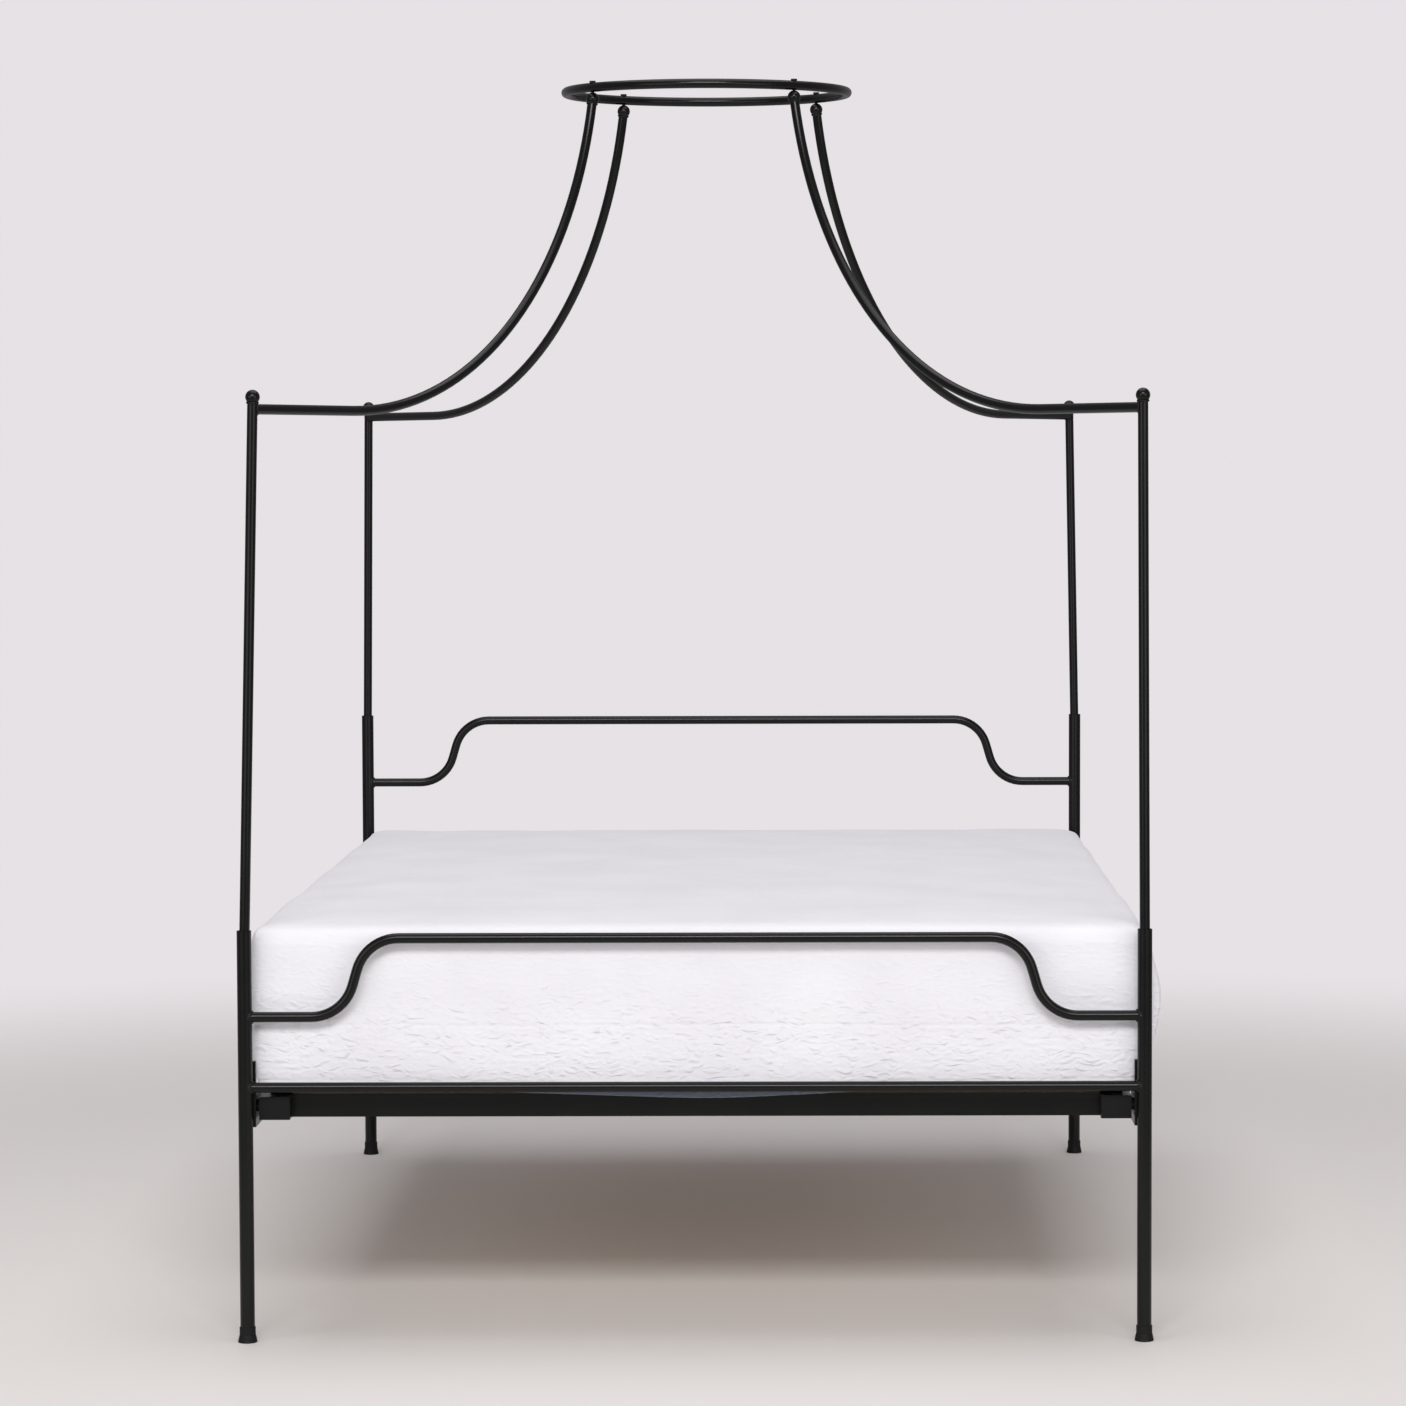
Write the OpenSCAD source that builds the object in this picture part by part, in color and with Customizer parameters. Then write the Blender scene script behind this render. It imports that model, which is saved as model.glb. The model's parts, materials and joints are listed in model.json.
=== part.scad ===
// Four poster canopy bed: bent steel tube, with a round crown, a slatted base and a mattress.
// Millimetres. +Z is up, +Y points to the head end, and the origin is on the floor under the bed's middle.

/* [Posts] */
// Spacing of the posts across the bed, centre to centre
post_pitch_x = 1560; // [1400:10:1700]
// Spacing of the posts along the bed, centre to centre
post_pitch_y = 2050; // [2050:10:2100]
// Outer diameter of the lower posts
post_od = 25.4; // [25:0.1:28]
// Wall of the lower posts
post_wall = 1.5; // [1.2:0.1:1.8]
// Height of the lower posts at the foot end
foot_post_top = 719; // [710:1:760]
// Height of the lower posts at the head end
head_post_top = 974; // [965:1:1010]
// Outer diameter of the rubber ferrules at the floor
ferrule_od = 33.5; // [32:0.5:38]
// Height of the rubber ferrules
ferrule_h = 27; // [20:1:35]

/* [Rails] */
// Outer diameter of the thin tube: rails, cross tubes, upper posts, arms and crown
tube_od = 18; // [16:0.5:19]
// Wall of the thin tube
tube_wall = 1.2; // [1:0.1:1.5]
// Height of the foot top rail's low ends
foot_rail_z = 568.5; // [560:0.5:575]
// Height of the head top rail's low ends
head_rail_z = 826; // [815:1:835]
// Bend radius of the S in a top rail, on the tube's centreline
neck_r = 75; // [65:5:80]
// Straight length between the two bends of the S
neck_straight = 30; // [20:5:40]
// Straight length of a top rail's end, from the post's axis to the S
rail_stub = 115; // [90:5:140]
// Height of the straight cross tubes
cross_tube_z = 445.5; // [444:0.5:450]

/* [Canopy] */
// Depth of the upper posts in the lower posts
socket_depth = 90; // [60:5:110]
// Height of the canopy arms where they leave the foot posts
arm_z = 1620; // [1560:5:1700]
// How much higher the head end's upper posts stand
head_lift = 11; // [0:1:15]
// Radius of the sweep of a canopy arm
arm_r = 751; // [720:1:780]
// Radius of the crown on its tube's centreline
crown_r = 274; // [250:1:300]
// Height of the crown's tube
crown_z = 2248; // [2235:1:2260]
// Turn of the crown from square, clockwise from above, as it settles when it is bolted down
crown_twist = 6.2; // [0:0.1:8]
// Slope of the crown towards the foot end
crown_tilt = 1.2; // [0:0.1:1.5]
// Diameter of the balls on the posts and arms
ball_d = 25; // [23:0.5:28]
// Inward lean of the foot end's left upper post in its loose socket
lean_foot_left = 1.4; // [0:0.1:1.6]
// Inward lean of the foot end's right upper post
lean_foot_right = 0.3; // [0:0.1:1.6]
// Inward lean of the head end's right upper post
lean_head_right = 1; // [0:0.1:1.6]
// Inward lean of the head end's left upper post
lean_head_left = 0.6; // [0:0.1:1.6]

/* [Base] */
// Width of the side rails' section
side_rail_w = 53; // [45:1:55]
// Height of the side rails' section
side_rail_h = 40; // [36:1:42]
// Height of the side rails' underside
side_rail_z = 386; // [384:1:388]
// Width of the slats
slat_w = 63; // [50:1:70]
// Number of slats
slat_count = 14; // [10:1:15]

/* [Mattress] */
// Width of the mattress
mattress_w = 1560; // [1500:10:1580]
// Length of the mattress
mattress_l = 2000; // [1990:5:2005]
// Thickness of the mattress
mattress_h = 285; // [250:5:285]
// How far the mattress lies to the right of the middle
mattress_shift = 12; // [0:1:15]

/* [Hidden] */
$fn = 48;
bend_fn = 96;
hull_fn = 24;
CORNERS = ["foot_left", "foot_right", "head_right", "head_left"];
SLATS = [for (i = [1 : slat_count]) str("slat_", i < 10 ? "0" : "", i)];

STEEL = [0.11, 0.12, 0.11];
ZINC = [0.45, 0.46, 0.47];
RUBBER = [0.07, 0.07, 0.07];
PLASTIC = [0.09, 0.09, 0.09];
BIRCH = [0.82, 0.69, 0.5];
COVER = [0.93, 0.93, 0.94];

// Corner i: 0 foot left, 1 foot right, 2 head right, 3 head left.
side = [-1, 1, 1, -1];
end = [-1, -1, 1, 1];
lean = [lean_foot_left, lean_foot_right, lean_head_right, lean_head_left];
post_x = post_pitch_x / 2;
post_y = post_pitch_y / 2;
post_r = post_od / 2;
tube_r = tube_od / 2;
ball_r = ball_d / 2;
tube_bore = tube_r - tube_wall;
// Clearances: fit_gap between pieces that slide together, weld_gap at a weld, rest_gap where two bodies rest.
fit_gap = 0.1;
weld_gap = 0.05;
rest_gap = 0.3;
// How far a cutter passes the face that it cuts.
over = 1;

sole = 3;
ferrule_wall = 1.3;
ferrule_edge = 1;
ferrule_lip = 0.4;
ferrule_rim = 3;
flare_h = 11;

stop_h = 6;
spigot_l = 12;
// How far below its centre a ball meets the bore's edge of the tube that it closes.
ball_seat = sqrt(ball_r * ball_r - tube_bore * tube_bore) + fit_gap;
// How far above the arm's axis the centre of a post's ball is.
ball_rise = 21;

// Each bend of the S turns through the steep angle of a 7-24-25 triangle, whose sine and cosine are exact.
neck_angle = atan2(24, 7);
neck_rise = 2 * neck_r * (1 - cos(neck_angle)) + neck_straight * sin(neck_angle);
neck_run = 2 * neck_r * sin(neck_angle) + neck_straight * cos(neck_angle);
top_half = post_x - rail_stub - neck_run;

plate_t = 4;
plate_x = post_x - post_r - plate_t;
plate_z = side_rail_z - 11;
plate_top = cross_tube_z + 44.5;
tab_top = side_rail_z + 44;
tab_l = 86;
bracket_y = post_y - tube_r;
bracket_depth = 10;

spacer_t = 4.3;
rail_x = plate_x - spacer_t;
rail_inner_x = rail_x - side_rail_w;
rail_top = side_rail_z + side_rail_h;
end_gap = 13;
rail_end = post_y - tube_r - end_gap;
rail_wall = 2;
cap_t = 3;
cap_plug_l = 9;

bolt_r = 4;
bolt_clear = 0.5;
bolt_head_r = 6.5;
bolt_head_h = 5;
nut_h = 6.5;
bolt_tip = 3;
spacer_r = 8;
bolt_z = side_rail_z + side_rail_h / 2;
bolt_ys = [post_y - 40, post_y - 80];

crossbar_w = 30;
crossbar_y = post_y - 70;
crossbar_bolt_l = 14;
centre_rail_h = 30;
crossbar_wall = 2;
end_plate_t = 3;

pad_t = 2;
slat_t = 8;
slat_edge = 2;
slat_z = rail_top + pad_t;
slat_inset = 14;
slat_half = rail_x - slat_inset;
slat_last_y = crossbar_y - 50;
slat_pitch = 2 * slat_last_y / (slat_count - 1);
holder_wall = 2.5;
holder_l = 38;
holder_h = slat_t + pad_t - 1;

mattress_r = 45;
mattress_z = slat_z + slat_t + rest_gap;

crown_bolt_r = 3;
crown_bolt_clear = 0.2;
// How far above the ball's centre a crown bolt ends.
crown_bolt_rise = 1;
crown_head_r = 6;
crown_head_h = 3.2;
crown_ball_drop = tube_r + ball_r + 0.5;

function post_top(i) = end[i] < 0 ? foot_post_top : head_post_top;
function arm_height(i) = end[i] < 0 ? arm_z : arm_z + head_lift;
function lean_z(i) = post_top(i) - socket_depth / 2;
function arm_start(i) = [
    side[i] * (post_x - tan(lean[i]) * (arm_height(i) - lean_z(i))),
    end[i] * post_y,
    arm_height(i)
];
function crown_angle(i) = atan2(end[i], side[i]) - crown_twist;
// A point h above the crown's centreline at corner i, with the crown's slope.
function crown_point(i, h) = [
    crown_r * cos(crown_angle(i)),
    crown_r * sin(crown_angle(i)) * cos(crown_tilt) - h * sin(crown_tilt),
    crown_z + crown_r * sin(crown_angle(i)) * sin(crown_tilt) + h * cos(crown_tilt)
];
function arm_reach(i) = norm([for (k = [0, 1]) crown_point(i, -crown_ball_drop)[k] - arm_start(i)[k]]);
function arm_turn(i) = atan2(
    crown_point(i, -crown_ball_drop)[1] - arm_start(i)[1],
    crown_point(i, -crown_ball_drop)[0] - arm_start(i)[0]
);
function arm_sweep(i) = acos(1 - (crown_point(i, -crown_ball_drop)[2] - arm_start(i)[2]) / arm_r);

module tube(l, r, wall) {
    difference() {
        cylinder(h = l, r = r);
        translate([0, 0, -over]) cylinder(h = l + 2 * over, r = r - wall);
    }
}

// A straight of thin tube from the origin along +X.
module thin_straight(l) {
    rotate([0, 90, 0]) tube(l, tube_r, tube_wall);
}

// A bend of thin tube in the XZ plane about the origin, from angle a0 through a, measured from +X to +Z.
module thin_bend(r, a0, a) {
    rotate([90, 0, 0]) rotate([0, 0, a0]) rotate_extrude(angle = a, $fn = bend_fn)
        translate([r, 0]) difference() {
            circle(r = tube_r);
            circle(r = tube_bore);
        }
}

module at_post(i) {
    translate([side[i] * post_x, end[i] * post_y, 0]) children();
}

// The upper post's own frame: origin on its axis in the socket, +Z along its lean.
module at_upper_post(i) {
    at_post(i) translate([0, 0, lean_z(i)]) rotate([0, -side[i] * lean[i], 0]) children();
}

// The crown's own frame, turned so that hole i is on +X.
module at_crown(i) {
    translate([0, 0, crown_z]) rotate([crown_tilt, 0, 0]) rotate([0, 0, crown_angle(i)]) children();
}

module lower_post(i) {
    color(STEEL) at_post(i) translate([0, 0, sole]) tube(post_top(i) - sole, post_r, post_wall);
}

module ferrule(i) {
    sleeve_r = post_r + ferrule_wall;
    flare_r = ferrule_od / 2;
    color(RUBBER) at_post(i) rotate_extrude() polygon([
        [0, 0],
        [flare_r - ferrule_edge, 0],
        [flare_r, ferrule_edge],
        [flare_r - ferrule_lip, ferrule_rim],
        [sleeve_r + 2 * ferrule_lip, flare_h],
        [sleeve_r, flare_h + 2 * ferrule_edge],
        [sleeve_r, ferrule_h - ferrule_lip],
        [sleeve_r - ferrule_lip, ferrule_h],
        [post_r + weld_gap, ferrule_h],
        [post_r + weld_gap, sole - weld_gap],
        [0, sole - weld_gap]
    ]);
}

// The upright welds to the post and the tab reaches along the side rail, which bolts to it.
module corner_bracket(i) {
    color(STEEL) scale([side[i], end[i], 1]) difference() {
        union() {
            translate([plate_x, bracket_y - tab_l, plate_z]) cube([plate_t, tab_l, tab_top - plate_z]);
            translate([plate_x, bracket_y - bracket_depth, plate_z])
                cube([2 * plate_t, bracket_depth, plate_top - plate_z]);
        }
        translate([post_x, post_y, plate_z - over]) cylinder(h = plate_top, r = post_r + weld_gap);
        for (y = bolt_ys) translate([plate_x - over, y, bolt_z]) rotate([0, 90, 0])
            cylinder(h = plate_t + 2 * over, r = bolt_r + bolt_clear);
    }
}

module post_stops() {
    color(STEEL) for (i = [0 : 3]) at_post(i) translate([0, 0, post_top(i) - socket_depth - stop_h])
        cylinder(h = stop_h, r = post_r - post_wall - fit_gap);
}

// A bend from level to the neck's slope about the origin: a quarter turn, cut where the straight starts.
module neck_bend() {
    difference() {
        thin_bend(neck_r, 0, 90);
        rotate([0, neck_angle, 0]) translate([0, -tube_od, 0]) cube([2 * neck_r, 2 * tube_od, 2 * neck_r]);
    }
}

// The S and the end of a top rail, from the end of its level middle to the post on +X.
module neck() {
    straight_x = top_half + neck_r * sin(neck_angle);
    straight_z = -neck_r * (1 - cos(neck_angle));
    translate([top_half, 0, -neck_r]) neck_bend();
    translate([straight_x, 0, straight_z]) rotate([0, neck_angle, 0]) thin_straight(neck_straight);
    translate([top_half + neck_run, 0, neck_r - neck_rise]) rotate([0, 180, 0]) neck_bend();
    translate([top_half + neck_run, 0, -neck_rise]) thin_straight(rail_stub);
}

module top_rail(y, z) {
    color(STEEL) difference() {
        translate([0, y, z + neck_rise]) union() {
            translate([-top_half, 0, 0]) thin_straight(2 * top_half);
            neck();
            mirror([1, 0, 0]) neck();
        }
        for (s = [-1, 1]) translate([s * post_x, y, z - post_r])
            cylinder(h = 2 * post_r, r = post_r + weld_gap);
    }
}

module cross_tube(y) {
    color(STEEL) difference() {
        translate([-post_x, y, cross_tube_z]) thin_straight(2 * post_x);
        for (s = [-1, 1]) translate([s * post_x, y, cross_tube_z - post_r])
            cylinder(h = 2 * post_r, r = post_r + weld_gap);
    }
}

module side_rail(s) {
    color(STEEL) scale([s, 1, 1]) difference() {
        translate([rail_inner_x, -rail_end, side_rail_z]) cube([side_rail_w, 2 * rail_end, side_rail_h]);
        translate([rail_inner_x + rail_wall, -rail_end - over, side_rail_z + rail_wall])
            cube([side_rail_w - 2 * rail_wall, 2 * (rail_end + over), side_rail_h - 2 * rail_wall]);
        for (e = [-1, 1], y = bolt_ys) translate([rail_x - rail_wall - over, e * y, bolt_z])
            rotate([0, 90, 0]) cylinder(h = rail_wall + 2 * over, r = bolt_r + bolt_clear);
        for (e = [-1, 1]) translate([rail_inner_x - over, e * crossbar_y, bolt_z]) rotate([0, 90, 0])
            cylinder(h = rail_wall + 2 * over, r = bolt_r + bolt_clear);
    }
}

// Moulded caps that close the side rails: a flange on the end and a plug inside.
module side_rail_caps() {
    plug = rail_wall + fit_gap;
    color(PLASTIC) for (s = [-1, 1], e = [-1, 1]) scale([s, e, 1]) {
        translate([rail_inner_x, rail_end, side_rail_z]) cube([side_rail_w, cap_t, side_rail_h]);
        translate([rail_inner_x + plug, rail_end - cap_plug_l, side_rail_z + plug])
            cube([side_rail_w - 2 * plug, cap_plug_l, side_rail_h - 2 * plug]);
    }
}

// A square tube across the bed, closed at both ends by the plates that bolt to the side rails.
module crossbar(e) {
    wall = crossbar_wall;
    color(STEEL) difference() {
        translate([-rail_inner_x, e * crossbar_y - crossbar_w / 2, side_rail_z])
            cube([2 * rail_inner_x, crossbar_w, side_rail_h]);
        translate([end_plate_t - rail_inner_x, e * crossbar_y - crossbar_w / 2 + wall, side_rail_z + wall])
            cube([2 * (rail_inner_x - end_plate_t), crossbar_w - 2 * wall, side_rail_h - 2 * wall]);
        for (s = [-1, 1]) translate([s * (rail_inner_x - end_plate_t / 2), e * crossbar_y, bolt_z])
            rotate([0, 90, 0]) cylinder(h = end_plate_t + 2 * over, r = bolt_r + bolt_clear, center = true);
    }
}

module centre_rail() {
    half = crossbar_y - crossbar_w / 2;
    color(STEEL) difference() {
        translate([-crossbar_w / 2, -half, rail_top - centre_rail_h])
            cube([crossbar_w, 2 * half, centre_rail_h]);
        translate([crossbar_wall - crossbar_w / 2, -half - over, rail_top - centre_rail_h + crossbar_wall])
            cube([crossbar_w - 2 * crossbar_wall, 2 * (half + over), centre_rail_h - 2 * crossbar_wall]);
    }
}

module centre_rail_pad() {
    half = crossbar_y - crossbar_w / 2;
    color(RUBBER) translate([-crossbar_w / 2, -half, rail_top]) cube([crossbar_w, 2 * half, pad_t]);
}

// Rail bolts, their nuts inside the side rails and the spacers between bracket and rail.
module at_rail_bolts() {
    for (s = [-1, 1], e = [-1, 1], y = bolt_ys) scale([s, e, 1]) translate([0, y, bolt_z])
        rotate([0, 90, 0]) children();
}

module rail_bolts() {
    head_x = plate_x + plate_t;
    tip_x = rail_x - rail_wall - nut_h - bolt_tip;
    color(ZINC) at_rail_bolts() {
        translate([0, 0, head_x]) cylinder(h = bolt_head_h, r = bolt_head_r, $fn = 6);
        translate([0, 0, tip_x]) cylinder(h = head_x - tip_x, r = bolt_r);
    }
}

module rail_nuts() {
    color(ZINC) at_rail_bolts() translate([0, 0, rail_x - rail_wall - nut_h]) difference() {
        cylinder(h = nut_h, r = bolt_head_r, $fn = 6);
        translate([0, 0, -over]) cylinder(h = nut_h + 2 * over, r = bolt_r + weld_gap);
    }
}

module rail_spacers() {
    color(PLASTIC) at_rail_bolts() translate([0, 0, rail_x]) difference() {
        cylinder(h = spacer_t, r = spacer_r);
        translate([0, 0, -over]) cylinder(h = spacer_t + 2 * over, r = bolt_r + bolt_clear);
    }
}

module crossbar_bolts() {
    head_x = rail_inner_x + rail_wall;
    tip_x = rail_inner_x - end_plate_t - crossbar_bolt_l;
    color(ZINC) for (s = [-1, 1], e = [-1, 1]) scale([s, e, 1])
        translate([0, crossbar_y, bolt_z]) rotate([0, 90, 0]) {
            translate([0, 0, head_x]) cylinder(h = bolt_head_h, r = bolt_head_r, $fn = 6);
            translate([0, 0, tip_x]) cylinder(h = head_x - tip_x, r = bolt_r);
        }
}

function slat_y(i) = i * slat_pitch - slat_last_y;

module slat(i) {
    w = slat_w / 2;
    color(BIRCH) translate([-slat_half, slat_y(i), slat_z]) rotate([90, 0, 90]) linear_extrude(2 * slat_half)
        polygon([
            [-w + slat_edge, 0],
            [w - slat_edge, 0],
            [w, slat_edge],
            [w, slat_t - slat_edge],
            [w - slat_edge, slat_t],
            [-w + slat_edge, slat_t],
            [-w, slat_t - slat_edge],
            [-w, slat_edge]
        ]);
}

// A pocket under and around each end of each slat.
module slat_holders() {
    start_x = slat_half - holder_l + holder_wall;
    pocket_w = slat_w + 2 * fit_gap;
    color(PLASTIC) for (s = [-1, 1], i = [0 : slat_count - 1]) scale([s, 1, 1])
        translate([start_x, slat_y(i), rail_top]) difference() {
            translate([0, -pocket_w / 2 - holder_wall, 0])
                cube([holder_l, pocket_w + 2 * holder_wall, holder_h]);
            translate([-over, -pocket_w / 2, pad_t - weld_gap])
                cube([holder_l - holder_wall + over + fit_gap, pocket_w, slat_t]);
        }
}

// Height of a post's ball along the upper post's axis.
function ball_z(i) = (arm_height(i) - lean_z(i)) / cos(lean[i]) + ball_rise;

module upper_post(i) {
    start = -socket_depth / 2 + rest_gap;
    color(STEEL) at_upper_post(i) translate([0, 0, start])
        tube(ball_z(i) - ball_seat - start, tube_r, tube_wall);
}

module finial(i) {
    color(STEEL) at_upper_post(i) translate([0, 0, ball_z(i)]) {
        sphere(r = ball_r);
        translate([0, 0, -ball_seat - spigot_l]) cylinder(h = spigot_l + ball_r / 2, r = tube_bore - fit_gap);
    }
}

module canopy_arm(i) {
    // The arm stops where the edge of its bore meets the ball.
    seat_angle = asin(ball_seat / arm_r);
    straight = arm_reach(i) - arm_r * sin(arm_sweep(i));
    color(STEEL) difference() {
        translate(arm_start(i)) rotate([0, 0, arm_turn(i)]) union() {
            thin_straight(straight);
            translate([straight, 0, arm_r]) thin_bend(arm_r, 270, arm_sweep(i) - seat_angle);
        }
        at_upper_post(i) cylinder(h = arm_height(i), r = tube_r + weld_gap);
    }
}

module arm_balls() {
    color(STEEL) for (i = [0 : 3]) at_crown(i) translate([crown_r, 0, -crown_ball_drop]) difference() {
        sphere(r = ball_r);
        cylinder(h = ball_r + over, r = crown_bolt_r + weld_gap);
    }
}

module crown_ring() {
    color(STEEL) difference() {
        translate([0, 0, crown_z]) rotate([crown_tilt, 0, 0]) rotate_extrude($fn = bend_fn)
            translate([crown_r, 0]) difference() {
                circle(r = tube_r);
                circle(r = tube_bore);
            }
        for (i = [0 : 3]) at_crown(i) translate([crown_r, 0, 0])
            cylinder(h = tube_od + 2 * over, r = crown_bolt_r + crown_bolt_clear, center = true);
    }
}

module crown_bolts() {
    color(STEEL) for (i = [0 : 3]) at_crown(i) translate([crown_r, 0, 0]) {
        translate([0, 0, tube_r + weld_gap]) cylinder(h = crown_head_h, r = crown_head_r);
        translate([0, 0, crown_bolt_rise - crown_ball_drop])
            cylinder(h = crown_ball_drop - crown_bolt_rise + tube_r + over, r = crown_bolt_r);
    }
}

module mattress() {
    half = [mattress_w / 2 - mattress_r, mattress_l / 2 - mattress_r];
    // The mattress lies towards the foot end, clear of the foot rails.
    color(COVER) translate([mattress_shift, mattress_l / 2 - rail_end, mattress_z]) hull() {
        for (sx = [-1, 1], sy = [-1, 1], z = [mattress_r, mattress_h - mattress_r])
            translate([sx * half[0], sy * half[1], z]) sphere(r = mattress_r, $fn = hull_fn);
    }
}

for (i = [0 : 3]) {
    lower_post(i);
    ferrule(i);
    corner_bracket(i);
    upper_post(i);
    finial(i);
    canopy_arm(i);
}
for (i = [0 : slat_count - 1]) {
    slat(i);
}
post_stops();
top_rail(-post_y, foot_rail_z);  // foot_top_rail
top_rail(post_y, head_rail_z);  // head_top_rail
cross_tube(-post_y);  // foot_cross_tube
cross_tube(post_y);  // head_cross_tube
side_rail(-1);  // side_rail_left
side_rail(1);  // side_rail_right
side_rail_caps();
crossbar(-1);  // foot_crossbar
crossbar(1);  // head_crossbar
centre_rail();
centre_rail_pad();
rail_bolts();
rail_nuts();
rail_spacers();
crossbar_bolts();
slat_holders();
arm_balls();
crown_ring();
crown_bolts();
mattress();
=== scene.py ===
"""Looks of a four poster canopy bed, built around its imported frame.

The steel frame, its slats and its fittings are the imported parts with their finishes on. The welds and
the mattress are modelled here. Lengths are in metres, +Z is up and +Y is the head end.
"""

import json
import logging
import math
from collections.abc import Callable
from dataclasses import dataclass
from enum import Enum

import bpy
import numpy as np
from mathutils import Matrix, Vector, noise


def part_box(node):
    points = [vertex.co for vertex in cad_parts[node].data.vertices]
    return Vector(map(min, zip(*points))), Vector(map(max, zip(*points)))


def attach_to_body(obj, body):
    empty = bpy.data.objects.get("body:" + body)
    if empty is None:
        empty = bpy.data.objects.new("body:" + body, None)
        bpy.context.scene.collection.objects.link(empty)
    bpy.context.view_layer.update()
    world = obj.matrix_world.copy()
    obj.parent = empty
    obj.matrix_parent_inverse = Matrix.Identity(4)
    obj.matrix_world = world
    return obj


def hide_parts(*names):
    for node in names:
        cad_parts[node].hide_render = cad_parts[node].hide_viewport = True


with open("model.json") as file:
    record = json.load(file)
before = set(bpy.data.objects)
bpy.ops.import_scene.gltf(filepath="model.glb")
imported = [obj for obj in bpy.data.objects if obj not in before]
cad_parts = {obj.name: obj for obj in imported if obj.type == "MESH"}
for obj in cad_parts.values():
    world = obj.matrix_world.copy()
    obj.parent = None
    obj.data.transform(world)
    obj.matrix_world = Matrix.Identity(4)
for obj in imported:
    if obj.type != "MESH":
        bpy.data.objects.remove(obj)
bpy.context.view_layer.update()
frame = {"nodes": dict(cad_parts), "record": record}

MM = 0.001
COVER_HEM = 0.5 * MM  # how far the white cover reaches below the mattress's packed form
LOG = logging.getLogger("bed")


class Slot(Enum):
    """The record's material slots."""

    POWDER_COAT = "powder_coat"
    RUBBER = "ferrule_rubber"
    PLASTIC = "black_plastic"
    ZINC = "zinc_fastener"
    BIRCH = "birch_slat"
    COVER = "mattress_cover"


class Body(Enum):
    """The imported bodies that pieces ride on."""

    FRAME = "frame"
    CANOPY = "canopy"
    MATTRESS = "mattress"


CORNERS = ("foot_left", "foot_right", "head_right", "head_left")


# ---------------------------------------------------------------- materials


def linear(hex_colour: str) -> tuple[float, float, float, float]:
    """Turns an sRGB hex colour to linear light.

    Args:
        hex_colour: Six hex digits, such as "1a1c1a".

    Returns:
        Red, green, blue and alpha, from 0 to 1.
    """
    parts = [int(hex_colour[i : i + 2], 16) / 255 for i in (0, 2, 4)]
    red, green, blue = [c / 12.92 if c <= 0.04045 else ((c + 0.055) / 1.055) ** 2.4 for c in parts]
    return red, green, blue, 1.0


def add_node(
    tree: bpy.types.NodeTree,
    kind: str,
    settings: dict[str | int, object] | None = None,
    links: dict[str | int, bpy.types.NodeSocket] | None = None,
) -> bpy.types.Node:
    """Adds a node with its settings and its links.

    Args:
        tree: The material's node tree.
        kind: The node's type, such as "ShaderNodeTexNoise".
        settings: Values by the name of a property, or by the name or number of an input.
        links: Outputs of other nodes, by the name or number of the input that they feed.

    Returns:
        The new node.
    """
    node = tree.nodes.new(kind)
    for name, value in (settings or {}).items():
        if isinstance(name, str) and hasattr(node, name):
            setattr(node, name, value)
        else:
            node.inputs[name].default_value = value
    for name, socket in (links or {}).items():
        tree.links.new(socket, node.inputs[name])
    return node


def blank_material(name: str) -> tuple[bpy.types.Material, bpy.types.NodeTree, bpy.types.NodeSocket]:
    """Makes a material with nothing but its output.

    Args:
        name: The material's name.

    Returns:
        The material, its node tree and its Object coordinates.
    """
    material = bpy.data.materials.new(name)
    material.use_nodes = True
    tree = material.node_tree
    tree.nodes.clear()
    place = add_node(tree, "ShaderNodeTexCoord").outputs["Object"]
    return material, tree, place


def shade(tree: bpy.types.NodeTree, settings: dict[str, object], links: dict[str | int, object]) -> None:
    """Adds the surface shader and joins it to the output.

    Args:
        tree: The material's node tree.
        settings: The Principled shader's values.
        links: What feeds the Principled shader.
    """
    shader = add_node(tree, "ShaderNodeBsdfPrincipled", settings, links)
    add_node(tree, "ShaderNodeOutputMaterial", {}, {"Surface": shader.outputs["BSDF"]})


@dataclass(frozen=True)
class PowderCoat:
    """Satin black powder coat on steel tube, sprayed on dry and stoved.

    The cured film has a fine orange peel and a broad, soft highlight that runs along each tube.
    """

    name: str = "satin_powder_coat"
    dark: str = "060706"
    light: str = "0c0e0c"
    peel: float = 1.5 * MM  # the real peel is about half this, too fine to show
    peel_height: float = 0.012 * MM
    cloud: float = 60 * MM
    roughness: tuple[float, float] = (0.2, 0.28)
    gloss: float = 0.26

    def build(self) -> bpy.types.Material:
        """Returns the material."""
        material, tree, place = blank_material(self.name)
        cloud = add_node(
            tree, "ShaderNodeTexNoise", {"Scale": 1 / self.cloud, "Detail": 3.0}, {"Vector": place}
        )
        peel = add_node(
            tree, "ShaderNodeTexNoise", {"Scale": 1 / self.peel, "Detail": 1.0}, {"Vector": place}
        )
        colour = add_node(
            tree,
            "ShaderNodeMix",
            {"data_type": "RGBA", 6: linear(self.dark), 7: linear(self.light)},
            {0: cloud.outputs["Fac"]},
        )
        rough = add_node(
            tree,
            "ShaderNodeMapRange",
            {"To Min": self.roughness[0], "To Max": self.roughness[1]},
            {"Value": cloud.outputs["Fac"]},
        )
        bump = add_node(
            tree,
            "ShaderNodeBump",
            {"Strength": 0.5, "Distance": self.peel_height},
            {"Height": peel.outputs["Fac"]},
        )
        shade(
            tree,
            {"IOR": 1.5, "Specular IOR Level": self.gloss},
            {
                "Base Color": colour.outputs[2],
                "Roughness": rough.outputs["Result"],
                "Normal": bump.outputs["Normal"],
            },
        )
        return material


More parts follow.
